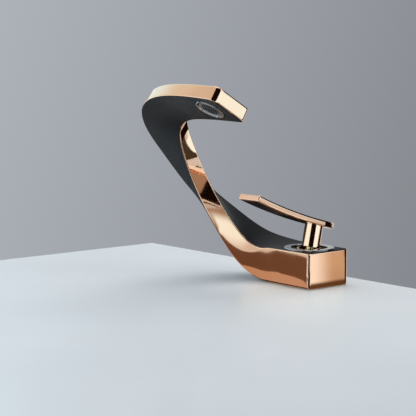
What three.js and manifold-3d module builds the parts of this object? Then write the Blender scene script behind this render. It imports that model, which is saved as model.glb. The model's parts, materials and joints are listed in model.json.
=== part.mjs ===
// Single-lever basin mixer with a twisted ribbon spout.
// Millimetres, +Z up. The origin is on the basin deck, on the axis of the lever's stem.
// +X runs to the right along the deck, and the user stands at -Y.

import * as THREE from 'three';
import { mergeVertices } from 'three/addons/utils/BufferGeometryUtils.js';
import Module from 'manifold-3d';

// ---------------------------------------------------------------- driving dimensions

const GAP = 0.3;                  // clearance left between neighbouring pieces
const ROUND_SIDES = 40;           // sides of a large round piece
const SMALL_SIDES = 20;           // sides of a screw, pin or port
const OVERCUT = 1;                // how far a cutter runs past the face it opens

const BLOCK = { right: 24.4, width: 49.4, height: 31, frontCorner: 2.5, backCorner: 6 };

// Stations that steer the ribbon after the block. The gold front edge of the ribbon faces
// `turn` degrees around the vertical and `tilt` degrees above the horizontal.
const RIBBON = [
  { at: [-16, 0.7, 15.5], turn: -90, tilt: 0, width: 49.4, thick: 31 },
  { at: [-37, 0.7, 15.5], turn: -90, tilt: 0, width: 49.4, thick: 31 },
  { at: [-60, -9, 24], turn: -65, tilt: -4, width: 47, thick: 23 },
  { at: [-76, -25, 47], turn: -50, tilt: -9, width: 45, thick: 16.5 },
  { at: [-82, -51, 75], turn: -27, tilt: -8, width: 44, thick: 14.5 },
  { at: [-84, -76, 113], turn: -10, tilt: -11, width: 42, thick: 13.5 },
  { at: [-82, -99, 145], turn: 27, tilt: -20, width: 39, thick: 12.5 },
  { at: [-59, -107, 158], turn: 60, tilt: -33, width: 36, thick: 12 },
  { at: [-23, -110, 160], turn: 84, tilt: -36, width: 35, thick: 12 },
  { at: [22, -109, 158], turn: 104, tilt: -28, width: 39, thick: 12.5 },
];
const RIBBON_STEPS = 46;          // sections along the curved part
const EDGE_RADIUS = 1;            // rounding along every long edge
const END_CORNER = { front: 3, back: 7 };     // plan corners of the spout's free end

const WATERWAY = { wall: 4, leastHeight: 4.4, widthShare: 0.6, offset: 1, from: 0.03, to: 0.93 };
const WATERWAY_STEPS = 30;
// Mixed water runs left under the cartridge and turns up into the ribbon's core.
const WATER_TURN = {
  x: [-24.5, -19.5], y: [-7, -2.9], passage: [3.8, 7.8], riser: { halfWidth: 6, top: 17 },
};

const PIVOT_Z = 22;               // height of the pin that the lever tilts on
const REST_LIFT = 12;             // degrees the lever is lifted in the stored, open pose
const POCKET = { floor: 8.5, radius: 12.8, shoulder: 22.5, threadRadius: 14.9 };
const RING_SEAT = { radius: 17.3, floor: 27.5 };

const INLET = { x: 5.8, y: 4.2, radius: 4.45 };        // M10 hose ports, hot left and cold right
const OUTLET = { x: 0, y: -5.4, radius: 2.6 };         // mixed water, below the ceramic discs
const STUD = { y: -13, radius: 4, top: 6.2, bottom: -58 };
const GASKET = { inner: 19.2, outer: 21.6, depth: 1.9 };

const DECK_GAP = 20;              // space left for the basin under the gasket
const HORSESHOE = { radius: 22, slotHalf: 12, slotStart: -5 };
const RUBBER_THICK = 3;
const PLATE_THICK = 2.5;
const NUT = { acrossFlats: 13, height: 16 };

const CARTRIDGE = { radius: 12.4, wallInner: 11, neckRadius: 9.6, top: 25.4, mouth: 7.6 };
const BASE_PLATE = { bottom: 8.8, top: 11.2, portRadius: 2.6, sealSeat: 4.3 };
const SEAL = { inner: 2.8, outer: 4, height: 1.3 };
const FIXED_DISC = { bottom: 11.5, top: 13.1, radius: 10.6 };
const MOVING_DISC = { bottom: 13.4, top: 15, radius: 8.8, recess: 5.6, recessDepth: 0.9 };
const CARRIER = { bottom: 15.3, top: 17.6, radius: 8.6, keyTop: 18.8, keyX: 3.1, keyY: 2.3 };
const ROTOR = { bottom: 17.9, flangeTop: 18.9, top: 25, flangeRadius: 10.6, neckRadius: 7.2 };
const ROTOR_SLOT = { x: 3.5, y: 5.2 };
const LEVER_PIN = { radius: 1.2, halfLength: 6.6 };
const BALL = { radius: 1.5, arm: 5, neck: 1.08, play: 0.1 };   // arm: from the pivot down to the ball
const SPINDLE = { barX: 3.1, barY: 2.4, barBottom: -2.2, barTop: 5, radius: 4.2, top: 17.2 };

const BONNET = { radius: 14.6, bottom: 22.8, mouth: 7.9, crown: 29.2, drop: 0.0157, domeSteps: 5 };
const TRIM_RING = { inner: 15.9, outer: 22, thick: 0.9, spigotBottom: 28, chamfer: 0.4 };

const STEM = { radius: 8, bottom: 10, bore: 4.6, boreTop: 21.5, screwHole: 2.3 };
// The lever's plan narrows behind the stem in a half ellipse `rear` long. The ellipse is cut off
// square `tip` degrees round it.
const LEVER = {
  width: 25, thick: 5.2, front: 82, rear: 20.6, tip: 76, seat: 29.4,
  slope: 2.8, curveRadius: 520, frontCorner: 1.5,
};
const LEVER_STEPS = 13;
const REAR_BEND = [60, 48, 36, 24, 12, 0];   // degrees round the ellipse that get a section
const STEM_SCREW = {
  headRadius: 3.5, headBottom: 18.2, headTop: 21.2, radius: 2, top: 32.2, hex: 1.75, hexDepth: 1.6,
};
const GRUB = { height: 14, radius: 2.1, tip: 4.5, back: 6.9, hex: 1.1, hexDepth: 1.2 };
const PLUG = { radius: 2.2, front: 7.1, back: 7.8 };

const AERATOR = { station: 0.946, socket: 12.9, socketDepth: 6.6, chamber: 9.5, chamberDepth: 9.4 };
const AERATOR_RING = { outer: 12.6, inner: 10.4, depth: 5, proud: 0.6, chamfer: 0.4 };
const AERATOR_INSERT = { radius: 10.1, depth: 4.6, recess: 0.6, holeRadius: 1.1, pitch: 3.6, laps: 2 };
const AERATOR_WASHER = { inner: 9, outer: 12.4, top: 5.3, bottom: 6.3 };

// ---------------------------------------------------------------- materials

const FINISH = {
  gold: { color: 0xd99a73, roughness: 0.12, metalness: 1 },
  nickel: { color: 0xb9b6b2, roughness: 0.2, metalness: 1 },
  steel: { color: 0x9a9c9f, roughness: 0.35, metalness: 1 },
  brass: { color: 0xc9a35a, roughness: 0.35, metalness: 1 },
  rubber: { color: 0x17181a, roughness: 0.85, metalness: 0 },
  plastic: { color: 0xe6e4dc, roughness: 0.5, metalness: 0 },
  acetal: { color: 0x4a5a78, roughness: 0.5, metalness: 0 },
  ceramic: { color: 0xf4f1ea, roughness: 0.25, metalness: 0 },
};

// ---------------------------------------------------------------- solids

const wasm = await Module();
wasm.setup();

function withoutSlivers(index) {
  const kept = [];
  for (let i = 0; i < index.length; i += 3) {
    const [a, b, c] = [index[i], index[i + 1], index[i + 2]];
    if (a !== b && b !== c && c !== a) kept.push(a, b, c);
  }
  return new Uint32Array(kept);
}

function toSolid(geometry) {
  const plain = geometry.clone();
  plain.deleteAttribute('normal');
  plain.deleteAttribute('uv');
  const merged = mergeVertices(plain, 1e-4);
  return new wasm.Manifold(new wasm.Mesh({
    numProp: 3,
    vertProperties: new Float32Array(merged.attributes.position.array),
    triVerts: withoutSlivers(merged.index.array),
  }));
}

function toGeometry(solid) {
  const mesh = solid.getMesh();
  const geometry = new THREE.BufferGeometry();
  geometry.setAttribute('position', new THREE.BufferAttribute(mesh.vertProperties, 3));
  geometry.setIndex(new THREE.BufferAttribute(mesh.triVerts, 1));
  geometry.computeVertexNormals();
  return geometry;
}

function cut(geometry, ...cutters) {
  return toGeometry(cutters.reduce((solid, cutter) => solid.subtract(toSolid(cutter)), toSolid(geometry)));
}

function join(...geometries) {
  const [first, ...rest] = geometries.map(toSolid);
  return toGeometry(rest.reduce((solid, other) => solid.add(other), first));
}

// ---------------------------------------------------------------- simple shapes

// A solid cylinder standing on z = bottom.
function rod(radius, bottom, top, { x = 0, y = 0, sides = ROUND_SIDES } = {}) {
  const height = top - bottom;
  return new THREE.CylinderGeometry(radius, radius, height, sides)
    .rotateX(Math.PI / 2).translate(x, y, bottom + height / 2);
}

// A ring of rectangular section.
function ring(inner, outer, bottom, top, sides = ROUND_SIDES) {
  return turned([[inner, bottom], [outer, bottom], [outer, top], [inner, top]], sides);
}

// A closed profile of [radius, height] points turned about Z.
function turned(points, sides = ROUND_SIDES) {
  const profile = [...points, points[0]].map(([r, z]) => new THREE.Vector2(r, z));
  return new THREE.LatheGeometry(profile, sides).rotateX(Math.PI / 2);
}

function box([x0, x1], [y0, y1], [z0, z1]) {
  return new THREE.BoxGeometry(x1 - x0, y1 - y0, z1 - z0)
    .translate((x0 + x1) / 2, (y0 + y1) / 2, (z0 + z1) / 2);
}

function extruded(shape, bottom, top, curveSegments = 16) {
  return new THREE.ExtrudeGeometry(shape, { depth: top - bottom, bevelEnabled: false, curveSegments })
    .translate(0, 0, bottom);
}

// ---------------------------------------------------------------- lofting

// How far a side draws in at `distance` from an end that is rounded to `radius`.
function roundIn(radius, distance) {
  if (distance >= radius) return 0;
  return radius - Math.sqrt(radius ** 2 - (radius - distance) ** 2);
}

// Distances from a rounded end at which a section is needed.
function endDistances(...radii) {
  const steps = radii.flatMap((radius) => [0, 0.08, 0.3, 0.65, 1].map((part) => part * radius));
  return [...new Set(steps)].sort((a, b) => a - b);
}

// Counter-clockwise rounded rectangle. `front` and `back` are its extents along the facing
// direction, `half` its half thickness.
function sectionOutline(front, back, half, radius, arcSteps = 2) {
  const corners = [[front, half, 0], [-back, half, 1], [-back, -half, 2], [front, -half, 3]];
  return corners.flatMap(([p, q, quarter]) => {
    const cp = p - Math.sign(p) * radius;
    const cq = q - Math.sign(q) * radius;
    return Array.from({ length: arcSteps + 1 }, (_, i) => {
      const angle = (quarter + i / arcSteps) * Math.PI / 2;
      return [cp + radius * Math.cos(angle), cq + radius * Math.sin(angle)];
    });
  });
}

// Sections are { centre, facing, top, outline } with facing x top pointing along the loft.
function loft(sections) {
  const count = sections[0].outline.length;
  const positions = sections.flatMap(({ centre, facing, top, outline }) => outline.flatMap(([p, q]) => (
    centre.clone().addScaledVector(facing, p).addScaledVector(top, q).toArray())));
  const index = [];
  for (let i = 0; i < sections.length - 1; i += 1) {
    for (let j = 0; j < count; j += 1) {
      const [a, b] = [i * count + j, i * count + (j + 1) % count];
      index.push(a, b, b + count, a, b + count, a + count);
    }
  }
  const last = (sections.length - 1) * count;
  for (let j = 1; j < count - 1; j += 1) {
    index.push(0, j + 1, j, last, last + j, last + j + 1);
  }
  const geometry = new THREE.BufferGeometry();
  geometry.setAttribute('position', new THREE.Float32BufferAttribute(positions, 3));
  geometry.setIndex(index);
  return geometry;
}

// ---------------------------------------------------------------- ribbon curve

const RIBBON_ROWS = RIBBON.map(({ at, turn, tilt, width, thick }) => [...at, turn, tilt, width, thick]);

// Cubic B-spline through the first and last rows. Returns the value and its rate of change.
function spline(rows, u) {
  const reflect = (end, next) => end.map((value, i) => 2 * value - next[i]);
  const padded = [reflect(rows[0], rows[1]), ...rows, reflect(rows.at(-1), rows.at(-2))];
  const spans = rows.length - 1;
  const span = Math.min(Math.floor(u * spans), spans - 1);
  const t = u * spans - span;
  const weights = [(1 - t) ** 3, 3 * t ** 3 - 6 * t ** 2 + 4, -3 * t ** 3 + 3 * t ** 2 + 3 * t + 1, t ** 3];
  const slopes = [-3 * (1 - t) ** 2, 9 * t ** 2 - 12 * t, -9 * t ** 2 + 6 * t + 3, 3 * t ** 2];
  const blend = (factors) => rows[0].map((_, k) => (
    factors.reduce((sum, factor, j) => sum + factor * padded[span + j][k], 0) / 6));
  return { value: blend(weights), rate: blend(slopes) };
}

// Position and axes of the ribbon: `along` the flow, `facing` out of the front edge, and `top`
// out of the face that starts as the block's top.
function ribbonFrame(u) {
  const { value, rate } = spline(RIBBON_ROWS, u);
  const [x, y, z, turn, tilt, width, thick] = value;
  const along = new THREE.Vector3(rate[0], rate[1], rate[2]).normalize();
  const [a, e] = [THREE.MathUtils.degToRad(turn), THREE.MathUtils.degToRad(tilt)];
  const facing = new THREE.Vector3(Math.cos(a) * Math.cos(e), Math.sin(a) * Math.cos(e), Math.sin(e));
  facing.addScaledVector(along, -facing.dot(along)).normalize();
  const top = new THREE.Vector3().crossVectors(along, facing);
  return { centre: new THREE.Vector3(x, y, z), along, facing, top, width, thick };
}

function ribbonSection(frame, fromEnd) {
  const all = roundIn(EDGE_RADIUS, fromEnd);
  const front = frame.width / 2 - Math.max(all, roundIn(END_CORNER.front, fromEnd));
  const back = frame.width / 2 - Math.max(all, roundIn(END_CORNER.back, fromEnd));
  return { ...frame, outline: sectionOutline(front, back, frame.thick / 2 - all, EDGE_RADIUS) };
}

function blockSection(fromEnd) {
  const frame = ribbonFrame(0);
  frame.centre.x = BLOCK.right - fromEnd;
  const front = BLOCK.width / 2 - roundIn(BLOCK.frontCorner, fromEnd);
  const back = BLOCK.width / 2 - roundIn(BLOCK.backCorner, fromEnd);
  const half = BLOCK.height / 2 - roundIn(EDGE_RADIUS, fromEnd);
  return { ...frame, outline: sectionOutline(front, back, half, EDGE_RADIUS) };
}

function ribbonShell() {
  const end = ribbonFrame(1);
  const speed = new THREE.Vector3(...spline(RIBBON_ROWS, 1).rate.slice(0, 3)).length() * (RIBBON.length - 1);
  const tail = endDistances(EDGE_RADIUS, END_CORNER.front, END_CORNER.back).reverse();
  const tailStart = 1 - tail[0] / speed;
  const sections = endDistances(EDGE_RADIUS, BLOCK.frontCorner, BLOCK.backCorner).map(blockSection);
  for (let i = 0; i < RIBBON_STEPS; i += 1) {
    sections.push(ribbonSection(ribbonFrame(tailStart * i / RIBBON_STEPS), Infinity));
  }
  tail.forEach((distance) => {
    const frame = ribbonFrame(1 - distance / speed);
    if (distance === 0) frame.centre.copy(end.centre);
    sections.push(ribbonSection(frame, distance));
  });
  return loft(sections);
}

function waterwayCore() {
  const { wall, leastHeight, widthShare, offset, from, to } = WATERWAY;
  const sections = Array.from({ length: WATERWAY_STEPS + 1 }, (_, i) => {
    const frame = ribbonFrame(from + (to - from) * i / WATERWAY_STEPS);
    frame.centre.addScaledVector(frame.top, offset);
    const half = Math.max(frame.thick - 2 * wall, leastHeight) / 2;
    const side = frame.width * widthShare / 2;
    return { ...frame, outline: sectionOutline(side, side, half, half / 2, 1) };
  });
  return loft(sections);
}

// ---------------------------------------------------------------- placing on the spout's outlet

// Local +Z leaves the outlet, and z = 0 is the black underside of the spout.
function outletMatrix() {
  const { centre, along, top, thick } = ribbonFrame(AERATOR.station);
  const out = top.clone().negate();
  const side = new THREE.Vector3().crossVectors(out, along);
  return new THREE.Matrix4().makeBasis(along, side, out)
    .setPosition(centre.clone().addScaledVector(out, thick / 2));
}

// ---------------------------------------------------------------- casting

function casting() {
  const outlet = outletMatrix();
  const { x, y, passage, riser } = WATER_TURN;
  const passageCutter = box([x[0], OUTLET.x], y, passage);
  const riserCutter = box(x, [-riser.halfWidth, riser.halfWidth], [passage[0], riser.top]);
  const ports = [-INLET.x, INLET.x].map((portX) => (
    rod(INLET.radius, -OVERCUT, POCKET.floor + OVERCUT, { x: portX, y: INLET.y, sides: SMALL_SIDES })));
  return cut(
    ribbonShell(),
    rod(POCKET.radius, POCKET.floor, BLOCK.height + OVERCUT),
    rod(POCKET.threadRadius, POCKET.shoulder, BLOCK.height + OVERCUT),
    rod(RING_SEAT.radius, RING_SEAT.floor, BLOCK.height + OVERCUT),
    ring(GASKET.inner - GAP, GASKET.outer + GAP, -OVERCUT, GASKET.depth + GAP),
    rod(STUD.radius + GAP, -OVERCUT, STUD.top + GAP, { y: STUD.y, sides: SMALL_SIDES }),
    ...ports,
    rod(OUTLET.radius, passage[0], POCKET.floor + OVERCUT, { x: OUTLET.x, y: OUTLET.y, sides: SMALL_SIDES }),
    passageCutter,
    riserCutter,
    waterwayCore(),
    rod(AERATOR.socket, -AERATOR.socketDepth, 2 * OVERCUT).applyMatrix4(outlet),
    rod(AERATOR.chamber, -AERATOR.chamberDepth, 0).applyMatrix4(outlet),
  );
}

// ---------------------------------------------------------------- deck fixings

function horseshoe(bottom, thick) {
  const { radius, slotHalf, slotStart } = HORSESHOE;
  const mouth = Math.asin(slotHalf / radius);
  const shape = new THREE.Shape();
  shape.absarc(0, 0, radius, Math.PI / 2 + mouth, Math.PI / 2 - mouth + 2 * Math.PI, false);
  shape.lineTo(slotHalf, slotStart + slotHalf / 2);
  shape.quadraticCurveTo(slotHalf, slotStart, slotHalf / 2, slotStart);
  shape.lineTo(-slotHalf / 2, slotStart);
  shape.quadraticCurveTo(-slotHalf, slotStart, -slotHalf, slotStart + slotHalf / 2);
  const hole = new THREE.Path();
  hole.absarc(0, STUD.y, STUD.radius + GAP, 0, 2 * Math.PI, true);
  shape.holes.push(hole);
  return extruded(shape, bottom, bottom + thick);
}

function mountingNut(top) {
  const corner = NUT.acrossFlats / Math.sqrt(3);
  const bottom = top - NUT.height;
  const bore = rod(STUD.radius + GAP, bottom - OVERCUT, top + OVERCUT, { y: STUD.y, sides: SMALL_SIDES });
  return cut(rod(corner, bottom, top, { y: STUD.y, sides: 6 }), bore);
}

// ---------------------------------------------------------------- cartridge

const PORTS = {
  hot: { x: -INLET.x, y: INLET.y },
  cold: { x: INLET.x, y: INLET.y },
  outlet: { x: OUTLET.x, y: OUTLET.y },
};

function portCutters(radius, bottom, top) {
  return Object.values(PORTS).map((port) => rod(radius, bottom, top, { ...port, sides: SMALL_SIDES }));
}

function cartridgeBase() {
  const { bottom, top, portRadius, sealSeat } = BASE_PLATE;
  return cut(
    rod(CARTRIDGE.radius, bottom, top),
    ...portCutters(portRadius, bottom - OVERCUT, top + OVERCUT),
    ...portCutters(sealSeat, bottom - OVERCUT, bottom + SEAL.height + GAP),
  );
}

function portSeal({ x, y }) {
  return ring(SEAL.inner, SEAL.outer, BASE_PLATE.bottom, BASE_PLATE.bottom + SEAL.height, SMALL_SIDES)
    .translate(x, y, 0);
}

function cartridgeHousing() {
  const { radius, wallInner, neckRadius, top, mouth } = CARTRIDGE;
  const bottom = FIXED_DISC.bottom;
  const cavityTop = ROTOR.flangeTop + GAP;
  return turned([
    [wallInner, bottom], [radius, bottom], [radius, POCKET.shoulder], [neckRadius, POCKET.shoulder],
    [neckRadius, top], [mouth, top], [mouth, cavityTop], [wallInner, cavityTop],
  ]);
}

function fixedDisc() {
  const { bottom, top, radius } = FIXED_DISC;
  const holes = portCutters(BASE_PLATE.portRadius, bottom - OVERCUT, top + OVERCUT);
  return cut(rod(radius, bottom, top), ...holes);
}

function movingDisc() {
  const { bottom, top, radius, recess, recessDepth } = MOVING_DISC;
  return cut(rod(radius, bottom, top), rod(recess, bottom - OVERCUT, bottom + recessDepth));
}

function discCarrier() {
  const { bottom, top, radius, keyTop, keyX, keyY } = CARRIER;
  const key = box([-keyX, keyX], [-keyY, keyY], [top - OVERCUT, keyTop]);
  const socketRadius = BALL.radius + GAP + BALL.play;
  const socket = rod(socketRadius, bottom - OVERCUT, keyTop + OVERCUT, { sides: SMALL_SIDES });
  return cut(join(rod(radius, bottom, top), key), socket);
}

function rotor() {
  const { bottom, flangeTop, top, flangeRadius, neckRadius } = ROTOR;
  const body = turned([
    [0, bottom], [flangeRadius, bottom], [flangeRadius, flangeTop], [neckRadius, flangeTop],
    [neckRadius, top], [0, top],
  ]);
  const { x, y } = ROTOR_SLOT;
  const slot = box([-x, x], [-y, y], [bottom - OVERCUT, top + OVERCUT]);
  return cut(body, slot, crossPin(LEVER_PIN.radius + GAP, neckRadius + OVERCUT).translate(0, 0, PIVOT_Z));
}

// A round bar along X, centred on the origin.
function crossPin(radius, halfLength) {
  return new THREE.CylinderGeometry(radius, radius, 2 * halfLength, SMALL_SIDES).rotateZ(Math.PI / 2);
}

function spindle() {
  const { barX, barY, barBottom, barTop, radius, top } = SPINDLE;
  const ball = new THREE.SphereGeometry(BALL.radius, 16, 12).translate(0, 0, -BALL.arm);
  const neck = rod(BALL.neck, -BALL.arm, barBottom + OVERCUT, { sides: SMALL_SIDES });
  const bar = box([-barX, barX], [-barY, barY], [barBottom, barTop + OVERCUT]);
  const post = rod(radius, barTop, top, { sides: SMALL_SIDES });
  return cut(join(ball, neck, bar, post), crossPin(LEVER_PIN.radius + GAP, barX + OVERCUT));
}

function bonnetNut() {
  const { radius, bottom, mouth, crown, drop, domeSteps } = BONNET;
  const domeHeight = (r) => crown - drop * (r ** 2 - mouth ** 2);
  const dome = Array.from({ length: domeSteps + 1 }, (_, i) => {
    const r = radius - (radius - mouth) * i / domeSteps;
    return [r, domeHeight(r)];
  });
  const clear = CARTRIDGE.neckRadius + GAP;
  const shelf = CARTRIDGE.top + GAP;
  return turned([[clear, bottom], [radius, bottom], ...dome, [mouth, shelf], [clear, shelf]]);
}

function trimRing() {
  const { inner, outer, thick, spigotBottom, chamfer } = TRIM_RING;
  const under = BLOCK.height + GAP;
  const top = under + thick;
  const spigot = RING_SEAT.radius - GAP;
  return turned([
    [inner, spigotBottom], [spigot, spigotBottom], [spigot, under], [outer, under],
    [outer, top - chamfer], [outer - chamfer, top], [inner, top],
  ]);
}

// ---------------------------------------------------------------- handle, upright about its pivot

// Frame of the lever's underside at a distance in front of the stem.
function leverFrame(forward) {
  const { slope, curveRadius, seat, thick } = LEVER;
  const start = THREE.MathUtils.degToRad(slope);
  const angle = start + forward / curveRadius;
  const along = new THREE.Vector3(0, -Math.cos(angle), Math.sin(angle));
  const top = new THREE.Vector3(0, Math.sin(angle), Math.cos(angle));
  const centre = new THREE.Vector3(
    0,
    -curveRadius * (Math.sin(angle) - Math.sin(start)),
    seat + curveRadius * (Math.cos(start) - Math.cos(angle)),
  ).addScaledVector(top, thick / 2);
  return { centre, facing: new THREE.Vector3(1, 0, 0), along, top };
}

// How far behind the stem the point `degrees` round the rear's half ellipse lies.
function rearReach(degrees) {
  return LEVER.rear * Math.sin(THREE.MathUtils.degToRad(degrees));
}

function leverSection(forward) {
  const { width, thick, front, rear, tip, frontCorner } = LEVER;
  const fromEnd = Math.min(front - forward, forward + rearReach(tip));
  const edge = roundIn(EDGE_RADIUS, fromEnd);
  const side = forward < 0
    ? width / 2 * Math.sqrt(1 - (forward / rear) ** 2) - edge
    : width / 2 - Math.max(edge, roundIn(frontCorner, fromEnd));
  return { ...leverFrame(forward), outline: sectionOutline(side, side, thick / 2 - edge, EDGE_RADIUS) };
}

function leverPlate() {
  const { front, tip, frontCorner } = LEVER;
  const rearTip = endDistances(EDGE_RADIUS).map((distance) => distance - rearReach(tip));
  const frontEnd = endDistances(EDGE_RADIUS, frontCorner).map((distance) => front - distance).reverse();
  const stride = frontEnd[0] / LEVER_STEPS;
  const middle = Array.from({ length: LEVER_STEPS - 1 }, (_, i) => stride * (i + 1));
  const stations = [...rearTip, ...REAR_BEND.map((degrees) => -rearReach(degrees)), ...middle, ...frontEnd];
  const blank = loft(stations.map(leverSection));
  return cut(blank, rod(STEM.screwHole, STEM.boreTop, STEM_SCREW.top + GAP, { sides: SMALL_SIDES }));
}

function handleStem() {
  const { radius, bottom, bore, boreTop, screwHole } = STEM;
  const reach = 2 * radius;
  const seatCutter = box([-reach, reach], [-reach, reach], [0, reach])
    .rotateX(-THREE.MathUtils.degToRad(LEVER.slope))
    .translate(0, 0, LEVER.seat - GAP);
  const grubHole = alongY(GRUB.radius + GAP, 0, radius + OVERCUT);
  return cut(
    rod(radius, bottom, LEVER.seat + OVERCUT),
    seatCutter,
    rod(bore, bottom - OVERCUT, boreTop),
    rod(screwHole, boreTop - OVERCUT, LEVER.seat + 2 * OVERCUT, { sides: SMALL_SIDES }),
    grubHole,
  );
}

// A round bar along +Y at the grub screw's height.
function alongY(radius, from, to, sides = SMALL_SIDES) {
  return new THREE.CylinderGeometry(radius, radius, to - from, sides)
    .translate(0, (from + to) / 2, GRUB.height);
}

function stemScrew() {
  const { headRadius, headBottom, headTop, radius, top, hex, hexDepth } = STEM_SCREW;
  const socket = rod(hex, headBottom - OVERCUT, headBottom + hexDepth, { sides: 6 });
  const blank = turned([[0, headBottom], [headRadius, headBottom], [headRadius, headTop],
    [radius, headTop], [radius, top], [0, top]], SMALL_SIDES);
  return cut(blank, socket);
}

function grubScrew() {
  const { radius, tip, back, hex, hexDepth } = GRUB;
  return cut(alongY(radius, tip, back), alongY(hex, back - hexDepth, back + OVERCUT, 6));
}

// ---------------------------------------------------------------- aerator, in outlet coordinates

function aeratorHousing() {
  const { outer, inner, depth, proud, chamfer } = AERATOR_RING;
  return turned([
    [inner, -depth], [outer, -depth], [outer, proud - chamfer], [outer - chamfer, proud], [inner, proud],
  ]);
}

function aeratorInsert() {
  const { radius, depth, recess, holeRadius, pitch, laps } = AERATOR_INSERT;
  const holes = [[0, 0]];
  for (let lap = 1; lap <= laps; lap += 1) {
    const count = 6 * lap;
    for (let i = 0; i < count; i += 1) {
      const angle = 2 * Math.PI * i / count;
      holes.push([lap * pitch * Math.cos(angle), lap * pitch * Math.sin(angle)]);
    }
  }
  const drills = holes.map(([x, y]) => rod(holeRadius, -depth - OVERCUT, 0, { x, y, sides: 6 }));
  return cut(rod(radius, -depth, -recess), ...drills);
}

// ---------------------------------------------------------------- assembly

function piece(name, geometry, finish) {
  const mesh = new THREE.Mesh(geometry, new THREE.MeshStandardMaterial(FINISH[finish]));
  mesh.name = name;
  return mesh;
}

function fixedBody() {
  const group = new THREE.Group();
  const rubberTop = -DECK_GAP;
  const plateTop = rubberTop - RUBBER_THICK - GAP;
  const nutTop = plateTop - PLATE_THICK - GAP;
  const stud = rod(STUD.radius, STUD.bottom, STUD.top, { y: STUD.y, sides: SMALL_SIDES });
  group.add(
    piece('body_casting', casting(), 'gold'),
    piece('base_gasket', ring(GASKET.inner, GASKET.outer, 0, GASKET.depth), 'rubber'),
    piece('mounting_stud', stud, 'steel'),
    piece('clamp_rubber', horseshoe(rubberTop - RUBBER_THICK, RUBBER_THICK), 'rubber'),
    piece('clamp_plate', horseshoe(plateTop - PLATE_THICK, PLATE_THICK), 'steel'),
    piece('mounting_nut', mountingNut(nutTop), 'brass'),
    piece('bonnet_nut', bonnetNut(), 'gold'),
    piece('trim_ring', trimRing(), 'nickel'),
  );
  return group;
}

function cartridgeFixedParts() {
  const group = new THREE.Group();
  group.add(
    piece('cartridge_base', cartridgeBase(), 'plastic'),
    piece('cartridge_housing', cartridgeHousing(), 'plastic'),
    piece('fixed_ceramic_disc', fixedDisc(), 'ceramic'),
  );
  Object.entries(PORTS).forEach(([name, port]) => {
    group.add(piece(`${name}_seal`, portSeal(port), 'rubber'));
  });
  return group;
}

function swivelParts() {
  const group = new THREE.Group();
  const pin = crossPin(LEVER_PIN.radius, LEVER_PIN.halfLength).translate(0, 0, PIVOT_Z);
  group.add(piece('rotor_guide', rotor(), 'acetal'), piece('lever_pin', pin, 'steel'));
  return group;
}

function slideParts() {
  const group = new THREE.Group();
  group.add(
    piece('disc_carrier', discCarrier(), 'acetal'),
    piece('moving_ceramic_disc', movingDisc(), 'ceramic'),
  );
  group.position.y = -BALL.arm * Math.sin(THREE.MathUtils.degToRad(REST_LIFT));
  return group;
}

function tiltParts() {
  const group = new THREE.Group();
  group.add(
    piece('spindle', spindle(), 'brass'),
    piece('handle_stem', handleStem(), 'gold'),
    piece('lever_plate', leverPlate(), 'gold'),
    piece('stem_screw', stemScrew(), 'steel'),
    piece('grub_screw', grubScrew(), 'steel'),
    piece('screw_plug', alongY(PLUG.radius, PLUG.front, PLUG.back), 'rubber'),
  );
  group.position.z = PIVOT_Z;
  group.rotation.x = -THREE.MathUtils.degToRad(REST_LIFT);
  return group;
}

function aeratorParts() {
  const group = new THREE.Group();
  const { inner, outer, bottom, top } = AERATOR_WASHER;
  const washer = ring(inner, outer, -bottom, -top);
  group.add(
    piece('aerator_housing', aeratorHousing(), 'nickel'),
    piece('aerator_insert', aeratorInsert(), 'acetal'),
    piece('aerator_washer', washer, 'rubber'),
  );
  group.applyMatrix4(outletMatrix());
  return group;
}

const faucet = new THREE.Group();
faucet.add(fixedBody(), cartridgeFixedParts(), swivelParts(), slideParts(), tiltParts(), aeratorParts());

export default faucet;
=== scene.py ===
"""Looks of a single-lever basin mixer with a twisted ribbon spout.

Metres, +Z up. The origin is on the basin deck, on the axis of the lever's stem.
"""

import json
import math

import bmesh
import bpy
from mathutils import Matrix, Vector


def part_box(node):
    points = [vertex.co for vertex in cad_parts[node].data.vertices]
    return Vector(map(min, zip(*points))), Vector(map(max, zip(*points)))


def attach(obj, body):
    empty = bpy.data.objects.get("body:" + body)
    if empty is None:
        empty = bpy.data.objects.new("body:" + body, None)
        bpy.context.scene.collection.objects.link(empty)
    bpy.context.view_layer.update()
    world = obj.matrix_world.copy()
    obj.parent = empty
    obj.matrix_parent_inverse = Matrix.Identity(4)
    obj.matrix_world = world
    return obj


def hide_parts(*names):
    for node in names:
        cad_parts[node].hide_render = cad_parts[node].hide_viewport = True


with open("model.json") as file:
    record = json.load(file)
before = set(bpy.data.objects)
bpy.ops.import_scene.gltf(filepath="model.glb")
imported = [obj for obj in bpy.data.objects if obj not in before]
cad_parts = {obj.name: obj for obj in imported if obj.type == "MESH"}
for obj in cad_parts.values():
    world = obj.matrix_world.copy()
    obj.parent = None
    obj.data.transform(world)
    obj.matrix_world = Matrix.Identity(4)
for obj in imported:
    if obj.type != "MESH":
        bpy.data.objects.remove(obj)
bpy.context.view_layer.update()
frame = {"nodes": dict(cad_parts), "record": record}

MM = 0.001
GAP = 0.3        # clearance between neighbouring pieces, as in the CAD source
OVERCUT = 1      # how far a cutter runs past the face it opens
COARSE, FINE = 48, 128     # steps round a small and a finely turned piece; most others take 96

# ---------------------------------------------------------------- driving dimensions, millimetres

BLOCK = {"right": 24.4, "height": 31, "front_corner": 2.5, "back_corner": 6}
EDGE_RADIUS = 1
END_CORNER = {"front": 3, "back": 7, "edge": 1.6}
FACET = 0.07   # the CAD's facets cut this much off its curves, so the fine ribbon is as much slimmer

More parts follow.
